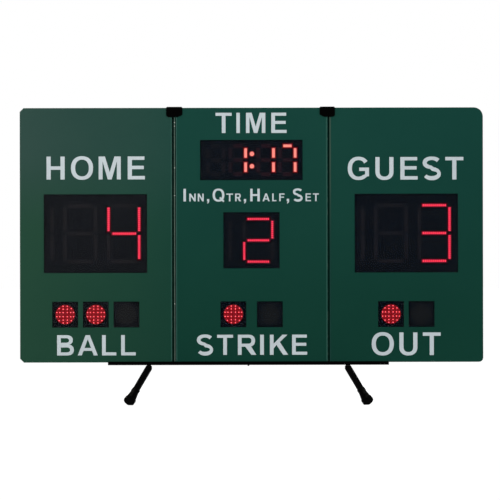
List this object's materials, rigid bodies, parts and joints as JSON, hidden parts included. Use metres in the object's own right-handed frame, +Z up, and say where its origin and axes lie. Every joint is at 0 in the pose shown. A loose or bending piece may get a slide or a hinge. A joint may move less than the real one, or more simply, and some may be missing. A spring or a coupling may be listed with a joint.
{
  "type": "portable multisport scoreboard",
  "caption": "Free-standing folding scoreboard: three hinged display panels in a row on a rail with splayed folding legs, seam clips on top and LED digits and lamps behind tinted windows.",
  "frame": {"origin": "on the floor, under the middle of the open board", "axes": "+X to the right as seen from the front along the board's width, +Y to the back, +Z up"},
  "size_m": [1.27, 0.227, 0.8164],
  "materials": {
    "green_shell": "dark green satin",
    "back_cover": "black satin",
    "tinted_pane": "dark tinted",
    "circuit_board": "black board",
    "black_steel": "black powder coat",
    "black_tube": "black powder coat",
    "pin_steel": "plain steel",
    "tip_rubber": "matte",
    "black_plastic": "fine texture",
    "rocker_plastic": "satin",
    "battery_wrap": "shrink wrap"
  },
  "bodies": {
    "center_unit": {"center_housing": "green_shell", "center_back_cover": "back_cover", "battery_cover": "black_plastic", "battery_pack": "battery_wrap", "controller_board": "circuit_board", "power_inlet": "black_plastic", "power_switch_body": "black_plastic", "time_window": "tinted_pane", "period_window": "tinted_pane", "strike_window": "tinted_pane", "time_display_board": "circuit_board", "period_display_board": "circuit_board", "strike_lamp_board": "circuit_board", "support_rail": "black_steel", "rail_bolt": "black_steel", "rail_nut": "black_steel", "left_leg_bracket": "black_steel", "right_leg_bracket": "black_steel", "left_lower_hinge_fixed_leaf": "black_steel", "left_lower_hinge_pin": "black_steel", "left_upper_hinge_fixed_leaf": "black_steel", "left_upper_hinge_pin": "black_steel", "right_lower_hinge_fixed_leaf": "black_steel", "right_lower_hinge_pin": "black_steel", "right_upper_hinge_fixed_leaf": "black_steel", "right_upper_hinge_pin": "black_steel", "front_left_leg_pin": "pin_steel", "rear_left_leg_pin": "pin_steel", "front_right_leg_pin": "pin_steel", "rear_right_leg_pin": "pin_steel"},
    "left_wing": {"left_housing": "green_shell", "left_back_cover": "back_cover", "home_window": "tinted_pane", "ball_window": "tinted_pane", "home_display_board": "circuit_board", "ball_lamp_board": "circuit_board", "left_lower_hinge_wing_leaf": "black_steel", "left_upper_hinge_wing_leaf": "black_steel"},
    "right_wing": {"right_housing": "green_shell", "right_back_cover": "back_cover", "guest_window": "tinted_pane", "out_window": "tinted_pane", "guest_display_board": "circuit_board", "out_lamp_board": "circuit_board", "right_lower_hinge_wing_leaf": "black_steel", "right_upper_hinge_wing_leaf": "black_steel"},
    "left_clip": {"left_seam_clip": "black_steel"},
    "right_clip": {"right_seam_clip": "black_steel"},
    "power_switch_rocker": {"power_rocker": "rocker_plastic"},
    "front_left_leg_unit": {"front_left_leg": "black_tube", "front_left_leg_tip": "tip_rubber"},
    "rear_left_leg_unit": {"rear_left_leg": "black_tube", "rear_left_leg_tip": "tip_rubber"},
    "front_right_leg_unit": {"front_right_leg": "black_tube", "front_right_leg_tip": "tip_rubber"},
    "rear_right_leg_unit": {"rear_right_leg": "black_tube", "rear_right_leg_tip": "tip_rubber"}
  },
  "joints": [
    {"name": "left_wing_fold", "type": "hinge", "parent": "center_unit", "child": "left_wing", "pos_m": [-0.215, 0.023, 0.46], "axis": [0, 0, -1], "range_deg": [0, 180]},
    {"name": "right_wing_fold", "type": "hinge", "parent": "center_unit", "child": "right_wing", "pos_m": [0.212, 0.046, 0.46], "axis": [0, 0, 1], "range_deg": [0, 180]},
    {"name": "left_clip_lift", "type": "slide", "parent": "center_unit", "child": "left_clip", "axis": [0, 0, 1], "range_m": [0, 0.032]},
    {"name": "right_clip_lift", "type": "slide", "parent": "center_unit", "child": "right_clip", "axis": [0, 0, 1], "range_m": [0, 0.032]},
    {"name": "power_switch_rock", "type": "hinge", "parent": "center_unit", "child": "power_switch_rocker", "pos_m": [0.085, 0.017, 0.17771], "axis": [1, 0, 0], "range_deg": [0, 20]},
    {"name": "front_left_leg_fold", "type": "hinge", "parent": "center_unit", "child": "front_left_leg_unit", "pos_m": [-0.2825, -0.012, 0.10021], "axis": [0, -0.7071, 0.7071], "range_deg": [0, 106]},
    {"name": "rear_left_leg_fold", "type": "hinge", "parent": "center_unit", "child": "rear_left_leg_unit", "pos_m": [-0.2825, 0.012, 0.10021], "axis": [0, -0.7071, -0.7071], "range_deg": [0, 106]},
    {"name": "front_right_leg_fold", "type": "hinge", "parent": "center_unit", "child": "front_right_leg_unit", "pos_m": [0.2645, -0.012, 0.10021], "axis": [0, 0.7071, -0.7071], "range_deg": [0, 106]},
    {"name": "rear_right_leg_fold", "type": "hinge", "parent": "center_unit", "child": "rear_right_leg_unit", "pos_m": [0.2645, 0.012, 0.10021], "axis": [0, 0.7071, 0.7071], "range_deg": [0, 106]}
  ]
}
